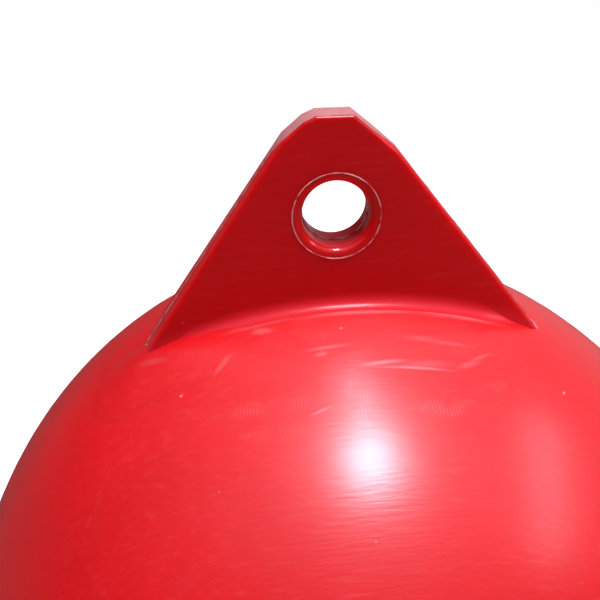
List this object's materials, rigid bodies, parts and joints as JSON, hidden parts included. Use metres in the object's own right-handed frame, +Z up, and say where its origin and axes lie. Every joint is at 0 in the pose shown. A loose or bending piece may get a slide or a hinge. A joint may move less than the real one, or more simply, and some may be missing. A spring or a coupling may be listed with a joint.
{
  "type": "ball buoy",
  "caption": "Hollow moulded ball buoy with a flat triangular rope lug and lined eye at each pole and an inflation valve on its shoulder.",
  "frame": {"origin": "on the waterline of the unloaded buoy, on the vertical axis through both poles", "axes": "+Z up through the upper lug; the lug plates lie in the XZ plane and their eyes run along Y; +Y is the side with the valve"},
  "size_m": [0.3999, 0.3998, 0.555],
  "materials": {
    "ball_pvc": "glossy plasticised vinyl with light haze and rub marks",
    "lug_pvc": "solid moulded vinyl, smooth, translucent at thin edges",
    "bush_pvc": "smooth moulded vinyl",
    "valve_plastic": "moulded black nylon",
    "washer_rubber": "plain black seal",
    "plug_plastic": "moulded black nylon, slotted"
  },
  "bodies": {
    "root": {"ball_shell": "ball_pvc", "upper_lug": "lug_pvc", "upper_eye_bush_front": "bush_pvc", "upper_eye_bush_back": "bush_pvc", "lower_lug": "lug_pvc", "lower_eye_bush_front": "bush_pvc", "lower_eye_bush_back": "bush_pvc", "valve_body": "valve_plastic", "valve_washer": "washer_rubber", "valve_plug": "plug_plastic"}
  },
  "joints": []
}
